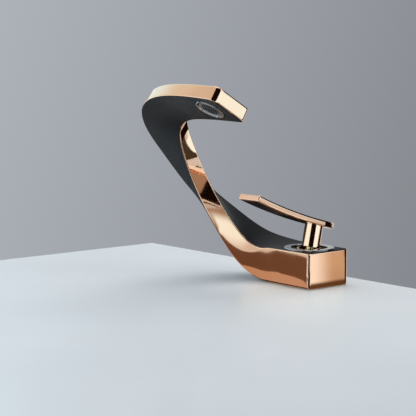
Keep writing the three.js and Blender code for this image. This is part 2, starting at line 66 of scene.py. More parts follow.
# x, y, z, turn, tilt, width and thickness of the ribbon, as in the CAD source.
RIBBON = [
    (-16, 0.7, 15.5, -90, 0, 49.4, 31),
    (-37, 0.7, 15.5, -90, 0, 49.4, 31),
    (-60, -9, 24, -65, -4, 47, 23),
    (-76, -25, 47, -50, -9, 45, 16.5),
    (-82, -51, 75, -27, -8, 44, 14.5),
    (-84, -76, 113, -10, -11, 42, 13.5),
    (-82, -99, 145, 27, -20, 39, 12.5),
    (-59, -107, 158, 60, -33, 36, 12),
    (-23, -110, 160, 84, -36, 35, 12),
    (22, -109, 158, 104, -28, 39, 12.5),
]
RIBBON_STEPS = 230
BLOCK_STRIDE = 3
BARE_UNDERSIDE_END = -34   # the block's underside is bare brass as far left as this x
FACE_SPREAD = 30           # degrees either side of square on that still belong to a broad face

PIVOT_Z = 22
REST_LIFT = 12
POCKET = {"floor": 8.5, "radius": 12.8, "shoulder": 22.5, "thread": 14.9}
RING_SEAT = {"radius": 17.3, "floor": 27.5}
INLET = {"x": 5.8, "y": 4.2, "radius": 4.45}
STUD = {"y": -13, "radius": 4, "top": 6.2, "bottom": -57.9}
THREAD = {"pitch": 1.25, "depth": 0.5, "flank": 1.25, "chamfer": 0.9, "chamfer_slope": 0.6}
GASKET = {"inner": 19.2, "outer": 21.6, "depth": 1.9}
HORSESHOE = {"radius": 22, "slot_half": 12, "slot_start": -5}
NUT = {
    "flats": 13, "face_inset": 0.2, "chamfer": 0.9, "overhang": 0.3,
    "bore": 4.3, "mouth": 4.9, "mouth_depth": 0.6,
}

AERATOR = {"station": 0.946, "socket": 12.9, "socket_depth": 6.6, "chamber": 9.5, "chamber_depth": 9.4}
COLLAR = {"outer": 12.6, "inner": 10.4, "depth": 5, "proud": 0.6, "coin_slot": (2.2, 1.9, 2)}
INSERT = {
    "radius": 10.1, "depth": 4.6, "recess": 0.6, "pitch": 2.5, "wall": 0.34, "laps": 3,
    "lattice_edge": 0.38, "rim_overlap": 0.9, "rim_proud": 0.25,
}

BONNET = {
    "radius": 14.6, "bottom": 22.8, "mouth": 7.9, "crown": 29.2, "drop": 0.0157,
    "bore": 9.9, "roof": 25.7, "dome_steps": 14,
}
TRIM_RING = {
    "inner": 15.9, "outer": 22, "thick": 0.9, "spigot_bottom": 28,
    "lift": 0.05, "outer_chamfer": 0.5, "inner_chamfer": 0.4,
}

STEM = {"radius": 8, "bottom": 10, "bore": 4.6, "bore_top": 21.5, "blank_top": 34, "chamfer": 0.4}
LEVER = {
    "width": 25, "thick": 5.2, "front": 82, "rear": 20.6, "tip": 76, "seat": 29.4,
    "slope": 2.8, "curve": 520, "front_corner": 1, "edge": 1.4,
}
REAR_ARC = {"from": 64, "stride": 4}   # degrees round the rear's half ellipse that get a section
LEVER_STEPS = 44
SEAT_GAP = 0.03
GRUB_HOLE = {"height": 14, "front": 3, "back": 10, "play": 0.12}
PLUG = {"radius": 2.2, "front": 7.1, "back": 7.8}

DECK = {"left": -291, "back": 52, "right": 900, "front": -1000, "thick": 19.6, "hole": 17.5, "top": -0.12}
PANEL_RADIUS, DARK_REFLECTION_RADIUS = 1200, 1190
PANEL_STEPS = 16
CEILING = {"left": -1100, "right": 300, "front": -300, "back": 1100, "height": 1500}
CARD_LAYERS = (0.3, 0.35, 0.4, 0.5)    # heights over the deck of the painted-reflection sheets: a higher sheet hides a lower one
BACKDROP = {
    "direction": (-0.335, -0.397, 0.16), "dark_at": -0.268, "light_at": 0.094,
    "dark": (0.094, 0.10, 0.112), "light": (0.425, 0.45, 0.488),
}

CAMERA = {"azimuth": 49.8, "pitch": 6.5, "lens": 112.5, "distance": 1127}
AIM = Vector((0, 0, 31))
AIM_RIGHT, AIM_UP = 87.5, -34.9   # where the aim lies from the picture's centre, at its distance

# ---------------------------------------------------------------- materials


class Shader:
    """A node material that starts from one Principled BSDF."""

    def __init__(self, name, **sockets):
        self.material = bpy.data.materials.new(name)
        self.material.use_nodes = True
        self.tree = self.material.node_tree
        self.principled = self.tree.nodes["Principled BSDF"]
        for socket, value in sockets.items():
            self.principled.inputs[socket.replace("_", " ")].default_value = value
        self.place = self.add("ShaderNodeTexCoord").outputs["Object"]

    def add(self, kind, **settings):
        node = self.tree.nodes.new(kind)
        for key, value in settings.items():
            setattr(node, key, value)
        return node

    def link(self, source, target):
        self.tree.links.new(source, target)

    def noise(self, scale, detail=3, stretch=(1, 1, 1), rough=0.5):
        """Noise of `scale` features per metre, drawn out along an axis where stretch is below 1."""
        place = self.place
        if stretch != (1, 1, 1):
            mapping = self.add("ShaderNodeMapping")
            mapping.inputs["Scale"].default_value = stretch
            self.link(self.place, mapping.inputs["Vector"])
            place = mapping.outputs["Vector"]
        node = self.add("ShaderNodeTexNoise")
        node.inputs["Scale"].default_value = scale
        node.inputs["Detail"].default_value = detail
        node.inputs["Roughness"].default_value = rough
        self.link(place, node.inputs["Vector"])
        return node.outputs["Fac"]

    def colour(self, source, dark, light, low=0.3, high=0.7):
        ramp = self.add("ShaderNodeValToRGB")
        ramp.color_ramp.elements[0].position = low
        ramp.color_ramp.elements[1].position = high
        ramp.color_ramp.elements[0].color = (*dark, 1)
        ramp.color_ramp.elements[1].color = (*light, 1)
        self.link(source, ramp.inputs["Fac"])
        self.link(ramp.outputs["Color"], self.principled.inputs["Base Color"])

    def roughness(self, source, low, high):
        span = self.add("ShaderNodeMapRange")
        span.inputs["From Min"].default_value = 0.3
        span.inputs["From Max"].default_value = 0.7
        span.inputs["To Min"].default_value = low
        span.inputs["To Max"].default_value = high
        self.link(source, span.inputs["Value"])
        self.link(span.outputs["Result"], self.principled.inputs["Roughness"])

    def bump(self, *layers):
        """Layers are (height source, depth in metres)."""
        normal = None
        for source, depth in layers:
            node = self.add("ShaderNodeBump")
            node.inputs["Strength"].default_value = 1
            node.inputs["Distance"].default_value = depth
            self.link(source, node.inputs["Height"])
            if normal:
                self.link(normal, node.inputs["Normal"])
            normal = node.outputs["Normal"]
        self.link(normal, self.principled.inputs["Normal"])


def polished_gold():
    """Mirror rose gold: slow buffing waves, faint wiping haze and hairline polishing marks."""
    s = Shader("polished_rose_gold", Metallic=1)
    s.colour(s.noise(16, 2), (0.86, 0.52, 0.345), (0.90, 0.575, 0.40))
    s.roughness(s.noise(60, 4), 0.035, 0.075)
    s.bump((s.noise(28, 1), 0.00012), (s.noise(2600, 2, (0.05, 1, 1)), 0.0000012))
    return s.material


def black_lacquer():
    """Fine matt black coating with a powdery grain."""
    s = Shader("matt_black_coating", Specular_IOR_Level=0.2)
    s.colour(s.noise(3500, 2), (0.0052, 0.006, 0.0075), (0.009, 0.0102, 0.0122))
    s.roughness(s.noise(45, 3), 0.46, 0.56)
    s.bump((s.noise(3200, 2), 0.00001),)
    return s.material


def polished_nickel():
    s = Shader("polished_nickel", Metallic=1)
    s.colour(s.noise(40, 2), (0.32, 0.317, 0.315), (0.4, 0.397, 0.395))
    s.roughness(s.noise(150, 4), 0.06, 0.14)
    s.bump((s.noise(3000, 2, (1, 1, 0.1)), 0.000002),)
    return s.material


def zinc_steel():
    """Zinc-plated steel with a drawn grain along Z."""
    s = Shader("zinc_steel", Metallic=1)
    s.colour(s.noise(70, 5), (0.42, 0.43, 0.44), (0.62, 0.63, 0.63))
    s.roughness(s.noise(220, 5), 0.24, 0.42)
    s.bump((s.noise(1800, 3, (1, 1, 0.06)), 0.000008),)
    return s.material


def machined_brass():
    """Bare brass with turning marks that run round in level rings."""
    s = Shader("machined_brass", Metallic=1)
    s.colour(s.noise(90, 4), (0.58, 0.43, 0.19), (0.74, 0.58, 0.29))
    s.roughness(s.noise(300, 4), 0.2, 0.38)
    s.bump((s.noise(2400, 2, (0.04, 0.04, 1)), 0.000006),)
    return s.material


def moulded(name, dark, light, rough=(0.4, 0.52), grain=1500, depth=0.00001, **sockets):
    """Moulded plastic, rubber or ceramic: a faint cloud of colour and a moulded grain."""
    s = Shader(name, **sockets)
    s.colour(s.noise(110, 3), dark, light)
    s.roughness(s.noise(240, 3), *rough)
    s.bump((s.noise(grain, 2), depth),)
    return s.material


GOLD = polished_gold()
BLACK = black_lacquer()
NICKEL = polished_nickel()
STEEL = zinc_steel()
BRASS = machined_brass()
RUBBER = moulded("black_rubber", (0.012, 0.012, 0.012), (0.03, 0.03, 0.03), (0.6, 0.8), 900, 0.00003)
WHITE = moulded("white_acetal", (0.72, 0.71, 0.66), (0.82, 0.81, 0.77))
# Dark grey plastic, made darker still to stand for the shade deep in the spout's throat around the aerator
# insert.
GREY = moulded("grey_plastic", (0.05, 0.052, 0.055), (0.09, 0.092, 0.096), (0.32, 0.45))
BLUE = moulded("blue_acetal", (0.12, 0.17, 0.29), (0.17, 0.23, 0.37))
CERAMIC = moulded("alumina_ceramic", (0.84, 0.82, 0.77), (0.92, 0.9, 0.86), (0.12, 0.2), 2600, 0.000002)

SLOT_MATERIALS = {
    "rose_gold": GOLD, "black_coating": BLACK, "nickel": NICKEL, "steel": STEEL, "raw_brass": BRASS,
    "seal_rubber": RUBBER, "white_plastic": WHITE, "grey_plastic": GREY, "blue_acetal": BLUE,
    "ceramic": CERAMIC,
}

# ---------------------------------------------------------------- mesh helpers


def mesh_object(name, points, faces, materials, face_materials=None, matrix=None):
    """A mesh object from points in millimetres. matrix places it, also in millimetres."""
    place = matrix or Matrix.Identity(4)
    mesh = bpy.data.meshes.new(name)
    mesh.from_pydata([(place @ Vector(p)) * MM for p in points], [], faces)
    for material in materials:
        mesh.materials.append(material)
    if face_materials:
        mesh.polygons.foreach_set("material_index", face_materials)
    piece = bpy.data.objects.new(name, mesh)
    bpy.context.scene.collection.objects.link(piece)
    clean = bmesh.new()
    clean.from_mesh(mesh)
    bmesh.ops.remove_doubles(clean, verts=clean.verts, dist=1e-7)
    bmesh.ops.recalc_face_normals(clean, faces=clean.faces)
    clean.to_mesh(mesh)
    clean.free()
    return piece


def turned(name, profile, material, steps=96, matrix=None):
    """A closed [radius, height] profile turned about Z."""
    points, faces = [], []
    count = len(profile)
    for i in range(steps):
        angle = 2 * math.pi * i / steps
        points += [(r * math.cos(angle), r * math.sin(angle), z) for r, z in profile]
    for i in range(steps):
        here, after = i * count, (i + 1) % steps * count
        for j in range(count):
            k = (j + 1) % count
            if profile[j][0] or profile[k][0]:
                faces.append([here + j, after + j, after + k, here + k])
    return mesh_object(name, points, faces, [material], matrix=matrix)


def box_object(name, size, material, matrix):
    x, y, z = (half / 2 for half in size)
    points = [(sx * x, sy * y, sz * z) for sx in (-1, 1) for sy in (-1, 1) for sz in (-1, 1)]
    faces = [(0, 1, 3, 2), (4, 6, 7, 5), (0, 4, 5, 1), (2, 3, 7, 6), (0, 2, 6, 4), (1, 5, 7, 3)]
    return mesh_object(name, points, faces, [material], matrix=matrix)


def cylinder_profile(radius, bottom, top):
    return [(0, bottom), (radius, bottom), (radius, top), (0, top)]


def ring_profile(inner, outer, bottom, top):
    return [(inner, bottom), (outer, bottom), (outer, top), (inner, top)]


def bend(start, pull, end, steps=8):
    """Points along a curve that leaves start towards pull and arrives at end from it."""
    points = []
    for i in range(steps + 1):
        t = i / steps
        near, middle, far = (1 - t) ** 2, 2 * t * (1 - t), t * t
        points.append(tuple(near * a + middle * b + far * c for a, b, c in zip(start, pull, end)))
    return points


def apply_modifiers(piece):
    graph = bpy.context.evaluated_depsgraph_get()
    result = bpy.data.meshes.new_from_object(piece.evaluated_get(graph), depsgraph=graph)
    piece.modifiers.clear()
    old = piece.data
    piece.data = result
    bpy.data.meshes.remove(old)
    result.name = piece.name


def combine(piece, other, operation="DIFFERENCE"):
    modifier = piece.modifiers.new("combine", "BOOLEAN")
    modifier.operation = operation
    modifier.solver = "EXACT"
    modifier.material_mode = "TRANSFER"
    modifier.object = other
    apply_modifiers(piece)
    bpy.data.objects.remove(other)


def join(piece, other):
    """Adds the other mesh to the piece's own."""
    whole = bmesh.new()
    whole.from_mesh(piece.data)
    whole.from_mesh(other.data)
    whole.to_mesh(piece.data)
    whole.free()
    bpy.data.objects.remove(other)


def soften(piece, width=0.0, segments=3, sharp=35):
    """Rounds the edges by `width` millimetres and shades flat faces flat and curved ones smooth."""
    mesh = piece.data
    mesh.polygons.foreach_set("use_smooth", [True] * len(mesh.polygons))
    if width:
        bevel = piece.modifiers.new("edge rounding", "BEVEL")
        bevel.width = width * MM
        bevel.segments = segments
        bevel.limit_method = "ANGLE"
        bevel.angle_limit = math.radians(sharp)
        bevel.harden_normals = False
        apply_modifiers(piece)
        mesh = piece.data
    mesh.set_sharp_from_angle(angle=math.radians(sharp))
    weighted = piece.modifiers.new("flat faces", "WEIGHTED_NORMAL")
    weighted.keep_sharp = True
    return piece


def install(piece, body, slot, *nodes):
    """Gives the piece its body, and lets it stand in for CAD nodes by hiding them. The slot is not used."""
    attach(piece, body)
    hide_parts(*nodes)


# ---------------------------------------------------------------- lofting


def round_in(radius, distance):
    """How far a side draws in at `distance` from an end that is rounded to `radius`."""
    if distance >= radius:
        return 0
    return radius - math.sqrt(radius**2 - (radius - distance) ** 2)


def end_distances(*radii, steps=8):
    """Distances from a rounded end at which a section is needed."""
    quarter = [math.pi / 2 * i / steps for i in range(steps + 1)]
    return sorted({round(radius * (1 - math.cos(a)), 4) for radius in radii for a in quarter})


def evenly(first, last, count):
    """Points between two ends, without the ends."""
    return [first + (last - first) * (i + 1) / (count + 1) for i in range(count)]


def section(front, back, half, radius, arc_steps=5, support=0.2, across=(11, 5)):
    """A rounded rectangle as (point, angle of the way on) pairs, counter-clockwise.

    front and back are the extents along the facing direction, half is half the thickness.
    The angle is 90 on the top face, 180 on the back, 270 underneath and 360 on the front.
    Each side has a point `support` from either end and, by turns, one of the counts in across between.
    """
    corners = [(front, half), (-back, half), (-back, -half), (front, -half)]

    def arc_centre(corner):
        return [value - math.copysign(radius, value) for value in corner]

    outline = []
    for quarter, corner in enumerate(corners):
        p, q = arc_centre(corner)
        for i in range(arc_steps + 1):
            angle = 90 * (quarter + i / arc_steps)
            a = math.radians(angle)
            outline.append(((p + radius * math.cos(a), q + radius * math.sin(a)), angle + 45 / arc_steps))
        side = 90 * (quarter + 1)
        last = Vector(outline[-1][0])
        outline[-1] = (outline[-1][0], side)
        outwards = radius * Vector((math.cos(a), math.sin(a)))
        following = Vector(arc_centre(corners[(quarter + 1) % 4])) + outwards
        length = (following - last).length
        for distance in [support, *evenly(support, length - support, across[quarter % 2]), length - support]:
            outline.append((tuple(last.lerp(following, distance / length)), side))
    return outline


def loft(name, sections, materials, choose):
    """Sections are (centre, facing, top, outline, distance from an end).

    choose gives a face's material index from its section's number and its angle.
    """
    count = len(sections[0][3])
    points, faces, chosen = [], [], []
    for centre, facing, top, outline, _ in sections:
        points += [centre + facing * p + top * q for (p, q), _ in outline]
    for i in range(len(sections) - 1):
        for j in range(count):
            a, b = i * count + j, i * count + (j + 1) % count
            faces.append([a, b, b + count, a + count])
            chosen.append(choose(i, sections[i][3][j][1]))
    last = (len(sections) - 1) * count
    faces += [list(range(count))[::-1], list(range(last, last + count))]
    chosen += [0, 0]
    return mesh_object(name, points, faces, materials, chosen)


# ---------------------------------------------------------------- ribbon curve


def reflect(end, neighbour):
    """The row as far beyond an end row as its neighbour is before it."""
    return tuple(2 * a - b for a, b in zip(end, neighbour))


def spline(rows, u):
    """Cubic B-spline through the first and last rows: the value and its rate of change."""
    padded = [reflect(rows[0], rows[1]), *rows, reflect(rows[-1], rows[-2])]
    spans = len(rows) - 1
    span = min(int(u * spans), spans - 1)
    t = u * spans - span
    weights = [(1 - t) ** 3, 3 * t**3 - 6 * t**2 + 4, -3 * t**3 + 3 * t**2 + 3 * t + 1, t**3]
    slopes = [-3 * (1 - t) ** 2, 9 * t**2 - 12 * t, -9 * t**2 + 6 * t + 3, 3 * t**2]

    def blend(factors):
        return [sum(f * padded[span + j][k] for j, f in enumerate(factors)) / 6 for k in range(len(rows[0]))]

    return blend(weights), blend(slopes)


def ribbon_frame(u):
    """Centre, along, facing, top, width and thickness of the ribbon at u from 0 to 1."""
    value, rate = spline(RIBBON, u)
    x, y, z, turn, tilt, width, thick = value
    along = Vector(rate[:3]).normalized()
    a, e = math.radians(turn), math.radians(tilt)
    facing = Vector((math.cos(a) * math.cos(e), math.sin(a) * math.cos(e), math.sin(e)))
    facing = (facing - along * facing.dot(along)).normalized()
    return Vector((x, y, z)), along, facing, along.cross(facing), width, thick


def block_section(from_end):
    _, _, facing, top, width, thick = ribbon_frame(0)
    centre = Vector((BLOCK["right"] - from_end, RIBBON[0][1], RIBBON[0][2]))
    front = width / 2 - round_in(BLOCK["front_corner"], from_end)
    back = width / 2 - round_in(BLOCK["back_corner"], from_end)
    half = thick / 2 - round_in(EDGE_RADIUS, from_end)
    return centre, facing, top, section(front, back, half, EDGE_RADIUS), from_end


def ribbon_section(u, from_end):
    centre, _, facing, top, width, thick = ribbon_frame(u)
    edge = round_in(END_CORNER["edge"], from_end)
    front = width / 2 - FACET - max(edge, round_in(END_CORNER["front"], from_end))
    back = width / 2 - FACET - max(edge, round_in(END_CORNER["back"], from_end))
    return centre, facing, top, section(front, back, thick / 2 - FACET - edge, EDGE_RADIUS), from_end


def ribbon_sections():
    """Sections from the block's right face to the spout's free end."""
    straight = end_distances(EDGE_RADIUS, BLOCK["front_corner"], BLOCK["back_corner"])
    length = BLOCK["right"] - RIBBON[0][0]
    straight += evenly(straight[-1], length, int((length - straight[-1]) / BLOCK_STRIDE))
    sections = [block_section(distance) for distance in straight]
    speed = Vector(spline(RIBBON, 1)[1][:3]).length * (len(RIBBON) - 1)
    tail = end_distances(*END_CORNER.values())[::-1]
    start = 1 - tail[0] / speed
    sections += [ribbon_section(start * i / RIBBON_STEPS, math.inf) for i in range(RIBBON_STEPS)]
    sections += [ribbon_section(1 - distance / speed, distance) for distance in tail]
    return sections


def outlet_matrix():
    """Local +Z leaves the outlet, and z = 0 is the black underside of the spout."""
    centre, along, _, top, _, thick = ribbon_frame(AERATOR["station"])
    out = -top
    side = out.cross(along)
    place = Matrix((along, side, out)).transposed().to_4x4()
    place.translation = centre + out * thick / 2
    return place


# ---------------------------------------------------------------- spout and base casting


def spout_casting():
    """Gold all round, with the matt coating on the ribbon's two broad faces."""
    sections = ribbon_sections()
    bare_sections = next(i for i, s in enumerate(sections) if s[0].x < BARE_UNDERSIDE_END)
    gold, black, bare = 0, 1, 2

    def choose(i, angle):
        on_top, underneath = abs(angle - 90) < FACE_SPREAD, abs(angle - 270) < FACE_SPREAD
        near_end = min(sections[i][4], sections[i + 1][4]) < EDGE_RADIUS / 3
        if near_end or not (on_top or underneath):
            return gold
        return bare if underneath and i < bare_sections else black

    casting = loft("spout_casting", sections, [GOLD, BLACK, BRASS], choose)
    outlet = outlet_matrix()
    stud = Matrix.Translation((0, STUD["y"], 0))
    high = BLOCK["height"] + OVERCUT
    cutters = [
        (cylinder_profile(POCKET["radius"], POCKET["floor"], high), None),
        (cylinder_profile(POCKET["thread"], POCKET["shoulder"], high), None),
        (cylinder_profile(RING_SEAT["radius"], RING_SEAT["floor"], high), None),
        (ring_profile(GASKET["inner"] - GAP, GASKET["outer"] + GAP, -OVERCUT, GASKET["depth"] + GAP), None),
        (cylinder_profile(STUD["radius"] + GAP, -OVERCUT, STUD["top"] + GAP), stud),
        (cylinder_profile(AERATOR["socket"], -AERATOR["socket_depth"], 2 * OVERCUT), outlet),
        (cylinder_profile(AERATOR["chamber"], -AERATOR["chamber_depth"], 0), outlet),
    ]
    for side in (-1, 1):
        place = Matrix.Translation((side * INLET["x"], INLET["y"], 0))
        cutters.append((cylinder_profile(INLET["radius"], -OVERCUT, POCKET["floor"] + OVERCUT), place))
    for profile, place in cutters:
        combine(casting, turned("cutter", profile, BRASS, matrix=place))
    soften(casting, sharp=30)
    install(casting, "body", "rose_gold", "body_casting")


# ---------------------------------------------------------------- ring and bonnet


def trim_ring():
    """Flat ring on the base, with a spigot that sits in the base's seat."""
    inner, outer, low = (TRIM_RING[key] for key in ("inner", "outer", "spigot_bottom"))
    outer_cut, inner_cut = TRIM_RING["outer_chamfer"], TRIM_RING["inner_chamfer"]
    under = BLOCK["height"] + TRIM_RING["lift"]
    top = BLOCK["height"] + GAP + TRIM_RING["thick"]
    spigot = RING_SEAT["radius"] - GAP
    profile = [
        (inner, low), (spigot, low), (spigot, under), (outer, under), (outer, top - outer_cut),
        (outer - outer_cut, top), (inner + inner_cut, top), (inner, top - inner_cut),
    ]
    piece = soften(turned("trim_flange", profile, NICKEL, FINE), 0.12)
    install(piece, "body", "nickel", "trim_ring")


def bonnet_nut():
    """The domed gold nut round the stem, inside the trim ring."""
    radius, bottom, mouth, crown, drop, bore, roof, steps = BONNET.values()
    dome = [(r, crown - drop * (r**2 - mouth**2)) for r in evenly(radius - 0.5, mouth + 0.3, steps)]
    rim = crown - drop * (radius**2 - mouth**2)
    profile = [
        (bore, bottom), (radius, bottom), (radius, rim - 0.4), (radius - 0.5, rim), *dome,
        (mouth + 0.2, crown - 0.05), (mouth, crown - 0.3), (mouth, roof), (bore, roof),
    ]
    piece = soften(turned("bonnet_dome", profile, GOLD, FINE), 0.08, 2)
    install(piece, "body", "rose_gold", "bonnet_nut")


# ---------------------------------------------------------------- lever and stem


def handle_matrix():
    """From the upright handle, about its pivot, to the open pose that the model rests in."""
    lift = Matrix.Rotation(-math.radians(REST_LIFT), 4, "X")
    return Matrix.Translation((0, 0, PIVOT_Z)) @ lift


def rear_reach(degrees):
    """How far behind the stem a point `degrees` round the rear's half ellipse lies."""
    return LEVER["rear"] * math.sin(math.radians(degrees))


def lever_section(forward):
    """Section of the lever plate at a distance in front of the stem's axis."""
    start = math.radians(LEVER["slope"])
    curve = LEVER["curve"]
    angle = start + forward / curve
    top = Vector((0, math.sin(angle), math.cos(angle)))
    centre = Vector((
        0,
        -curve * (math.sin(angle) - math.sin(start)),
        LEVER["seat"] + curve * (math.cos(start) - math.cos(angle)),
    ))
    from_end = min(LEVER["front"] - forward, forward + rear_reach(LEVER["tip"]))
    edge = round_in(EDGE_RADIUS, from_end)
    if forward < 0:
        side = LEVER["width"] / 2 * math.sqrt(1 - (forward / LEVER["rear"]) ** 2) - edge
    else:
        side = LEVER["width"] / 2 - max(edge, round_in(LEVER["front_corner"], from_end))
    half = LEVER["thick"] / 2
    outline = section(side, side, half - edge, LEVER["edge"], across=(7, 3))
    turn = handle_matrix().to_3x3()
    return handle_matrix() @ (centre + top * half), turn @ Vector((1, 0, 0)), turn @ top, outline, from_end


def lever_blade():
    front = end_distances(EDGE_RADIUS, LEVER["front_corner"])
    tip = end_distances(EDGE_RADIUS)
    stations = [distance - rear_reach(LEVER["tip"]) for distance in tip]
    stations += [-rear_reach(degrees) for degrees in range(REAR_ARC["from"], -1, -REAR_ARC["stride"])]
    stations += evenly(0, LEVER["front"] - front[-1], LEVER_STEPS)
    stations += [LEVER["front"] - distance for distance in reversed(front)]
    sections = [lever_section(forward) for forward in stations]
    piece = loft("lever_blade", sections, [GOLD], lambda i, angle: 0)
    soften(piece, sharp=40)
    install(piece, "handle", "rose_gold", "lever_plate")


def lever_stem():
    """The round post, cut to the lever's slope, with the grub screw's hole at the back and its plug."""
    radius, bottom, bore, bore_top, blank_top, chamfer = STEM.values()
    profile = [
        (bore, bottom), (radius - chamfer, bottom), (radius, bottom + chamfer), (radius, blank_top),
        (0, blank_top), (0, bore_top), (bore, bore_top),
    ]
    place = handle_matrix()
    stem = turned("lever_post", profile, GOLD, FINE, place)
    slope = Matrix.Rotation(-math.radians(LEVER["slope"]), 4, "X")
    seat = place @ Matrix.Translation((0, 0, LEVER["seat"] - SEAT_GAP)) @ slope
    past_seat = cylinder_profile(14, 0, 12)
    combine(stem, turned("cutter", past_seat, GOLD, COARSE, seat))
    hole = place @ Matrix.Translation((0, 0, GRUB_HOLE["height"])) @ Matrix.Rotation(-math.pi / 2, 4, "X")
    drill = cylinder_profile(PLUG["radius"] + GRUB_HOLE["play"], GRUB_HOLE["front"], GRUB_HOLE["back"])
    combine(stem, turned("cutter", drill, GOLD, COARSE, hole))
    soften(stem, 0.1, 2, 30)
    install(stem, "handle", "rose_gold", "handle_stem")
    front, back, r = PLUG["front"], PLUG["back"], PLUG["radius"]
    cap = [(0, front), (r, front), (r, back - 0.3), (r - 0.25, back - 0.08), (r - 0.7, back), (0, back)]
    plug = soften(turned("post_plug", cap, RUBBER, COARSE, hole))
    install(plug, "handle", "seal_rubber", "screw_plug")


# ---------------------------------------------------------------- aerator


def aerator_collar():
    """Polished ring with a coin slot on either side for unscrewing it."""
    outer, inner, depth, proud, coin_slot = COLLAR.values()
    profile = [
        (inner, -depth), (outer, -depth), (outer, proud - 0.4), (outer - 0.35, proud),
        (outer - 0.9, proud), (inner, -0.6),
    ]
    place = outlet_matrix()
    collar = turned("aerator_collar", profile, NICKEL, FINE, place)
    for turn in (0, math.pi):
        slot = place @ Matrix.Rotation(turn, 4, "Z") @ Matrix.Translation((0, outer - 0.2, proud + 0.5))
        combine(collar, box_object("cutter", coin_slot, NICKEL, slot))
    soften(collar, 0.08, 2)
    install(collar, "body", "nickel", "aerator_housing")


def hexagon(radius, x, y, z):
    """A hexagon's corners round a centre, its flats towards +X and -X."""
    turns = [math.pi / 6 + i * math.pi / 3 for i in range(6)]
    return [(x + radius * math.cos(a), y + radius * math.sin(a), z) for a in turns]


def honeycomb():
    """The aerator's cage: a rim round a lattice of open hexagonal cells."""
    radius, depth, recess, pitch, wall, laps, lattice_edge, rim_overlap, rim_proud = INSERT.values()
    points, faces = [], []
    outer, inner = pitch / math.sqrt(3), (pitch - wall) / math.sqrt(3)
    rings = [(outer, -recess), (inner, -recess), (inner, -depth), (outer, -depth)]
    for a in range(-laps, laps + 1):
        for b in range(max(-laps, -a - laps), min(laps, laps - a) + 1):
            base = len(points)
            for r, z in rings:
                points += hexagon(r, pitch * (a + b / 2), pitch * b * math.sqrt(3) / 2, z)
            for start in range(base, base + 18, 6):
                for i in range(6):
                    k = (i + 1) % 6
                    faces.append([start + i, start + k, start + 6 + k, start + 6 + i])
    place = outlet_matrix()
    cage = mesh_object("aerator_cage", points, faces, [GREY], matrix=place)
    edge = pitch * (laps + lattice_edge)
    rim = ring_profile(edge - rim_overlap, radius, -depth, -recess + rim_proud)
    join(cage, turned("rim", rim, GREY, matrix=place))
    soften(cage)
    install(cage, "body", "grey_plastic", "aerator_insert")


# ---------------------------------------------------------------- deck fixings


def thread_radius(z, turn):
    """The stud's radius at a height and a share of a turn: flat roots, and chamfers at both ends."""
    phase = (z / THREAD["pitch"] - turn) % 1
    groove = THREAD["depth"] * (1 - abs(2 * phase - 1)) * THREAD["flank"]
    from_end = min(z - STUD["bottom"], STUD["top"] - z)
    chamfer = max(0, THREAD["chamfer"] - from_end) * THREAD["chamfer_slope"]
    return STUD["radius"] - min(groove, THREAD["depth"]) - chamfer


def threaded_stud():
    """A full-length M8 thread."""
    columns, per_turn = 36, 8
    length = STUD["top"] - STUD["bottom"]
    rows = int(length / THREAD["pitch"] * per_turn)
    points, faces = [(0, 0, STUD["bottom"])], []
    for row in range(rows + 1):
        z = STUD["bottom"] + length * row / rows
        for column in range(columns):
            r = thread_radius(z, column / columns)
            angle = 2 * math.pi * column / columns
            points.append((r * math.cos(angle), r * math.sin(angle), z))
    points.append((0, 0, STUD["top"]))

    def at(row, column):
        return 1 + row * columns + column % columns

    for row in range(rows):
        for c in range(columns):
            faces.append([at(row, c), at(row, c + 1), at(row + 1, c + 1), at(row + 1, c)])
    for c in range(columns):
        faces.append([0, at(0, c + 1), at(0, c)])
        faces.append([len(points) - 1, at(rows, c), at(rows, c + 1)])
    place = Matrix.Translation((0, STUD["y"], 0))
    piece = soften(mesh_object("threaded_stud", points, faces, [STEEL], matrix=place), sharp=50)
    install(piece, "body", "steel", "mounting_stud")


def deck_nut():
    """Long hexagon nut with turned chamfers at both ends."""
    flats, inset, chamfer, overhang, bore, mouth, mouth_depth = NUT.values()
    low, high = (corner.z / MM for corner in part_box("mounting_nut"))
    corner = flats / math.sqrt(3)
    face, side = flats / 2 - inset, corner + overhang
    place = Matrix.Translation((0, STUD["y"], 0))
    piece = turned("clamp_nut", cylinder_profile(corner, low, high), BRASS, 6, place)
    barrel = [(0, low), (face, low), (side, low + chamfer), (side, high - chamfer), (face, high), (0, high)]
    combine(piece, turned("chamfer", barrel, BRASS, matrix=place), "INTERSECT")
    below, above = low - OVERCUT, high + OVERCUT
    drill = [
        (0, below), (mouth, below), (bore, low + mouth_depth), (bore, high - mouth_depth),
        (mouth, above), (0, above),
    ]
    combine(piece, turned("cutter", drill, BRASS, 64, place))
    soften(piece, 0.08, 2, 25)
    install(piece, "body", "raw_brass", "mounting_nut")


def horseshoe_outline():
    """Round plate with a slot for the hoses, open towards +Y, counter-clockwise."""
    radius, half, start = (HORSESHOE[key] for key in ("radius", "slot_half", "slot_start"))
    mouth = math.asin(half / radius)
    first, last = math.pi / 2 + mouth, math.pi / 2 - mouth + 2 * math.pi
    turns = [first + (last - first) * i / 90 for i in range(91)]
    outline = [(radius * math.cos(a), radius * math.sin(a)) for a in turns]
    corner = bend((half, start + half / 2), (half, start), (half / 2, start), 10)
    return outline + corner + [(-x, y) for x, y in reversed(corner)]


def horseshoe(name, node, material, rounding):
    low, high = (corner.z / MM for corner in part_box(node))
    outline = horseshoe_outline()
    count = len(outline)
    points = [(x, y, z) for z in (low, high) for x, y in outline]
    faces = [list(range(count))[::-1], list(range(count, 2 * count))]
    faces += [[i, (i + 1) % count, count + (i + 1) % count, count + i] for i in range(count)]
    piece = mesh_object(name, points, faces, [material])
    place = Matrix.Translation((0, STUD["y"], 0))
    drill = cylinder_profile(STUD["radius"] + GAP, low - OVERCUT, high + OVERCUT)
    combine(piece, turned("cutter", drill, material, 64, place))
    soften(piece, rounding, 3, 40)
    return piece


